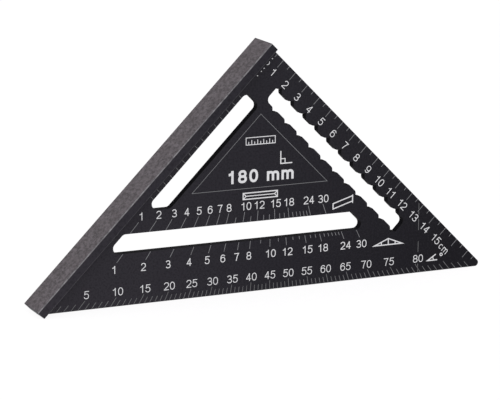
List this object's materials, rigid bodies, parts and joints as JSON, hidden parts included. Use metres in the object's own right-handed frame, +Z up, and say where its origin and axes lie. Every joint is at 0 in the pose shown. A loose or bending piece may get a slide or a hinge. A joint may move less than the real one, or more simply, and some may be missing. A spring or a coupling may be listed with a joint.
{
  "type": "rafter square",
  "caption": "Metric rafter square: a right-angled blade on a T-shaped fence, with a ruled edge, angle and rafter scales, layout slots and scribing notches.",
  "frame": {"origin": "middle of the thickness of the long edge, straight below the pivot corner, on the surface it stands on", "axes": "+X runs along the long edge from the fence to the far tip, +Y goes from the marked face to the plain face, +Z is up"},
  "size_m": [0.2602, 0.021, 0.1333],
  "materials": {
    "fence": "black anodised, with a broad outer face blasted to a sandy dark grey",
    "blade": "satin, black anodised",
    "graduation_marks": "thin light grey line",
    "figures": "matt white"
  },
  "bodies": {
    "root": {"fence": "fence", "blade": "blade", "centimetre_ticks": "graduation_marks", "centimetre_numerals": "figures", "centimetre_unit": "figures", "degree_ticks": "graduation_marks", "degree_numerals": "figures", "angle_symbol": "figures", "common_ticks": "graduation_marks", "common_numerals": "figures", "common_rafter_symbol": "figures", "hip_valley_ticks": "graduation_marks", "hip_valley_numerals": "figures", "hip_roof_symbol": "figures", "top_cut_symbol": "figures", "ruler_symbol": "figures", "size_label": "figures", "right_angle_symbol": "figures", "panel_border": "graduation_marks", "pivot_symbol": "figures", "fence_slot_ticks": "graduation_marks", "tip_cross_line": "graduation_marks"}
  },
  "joints": []
}
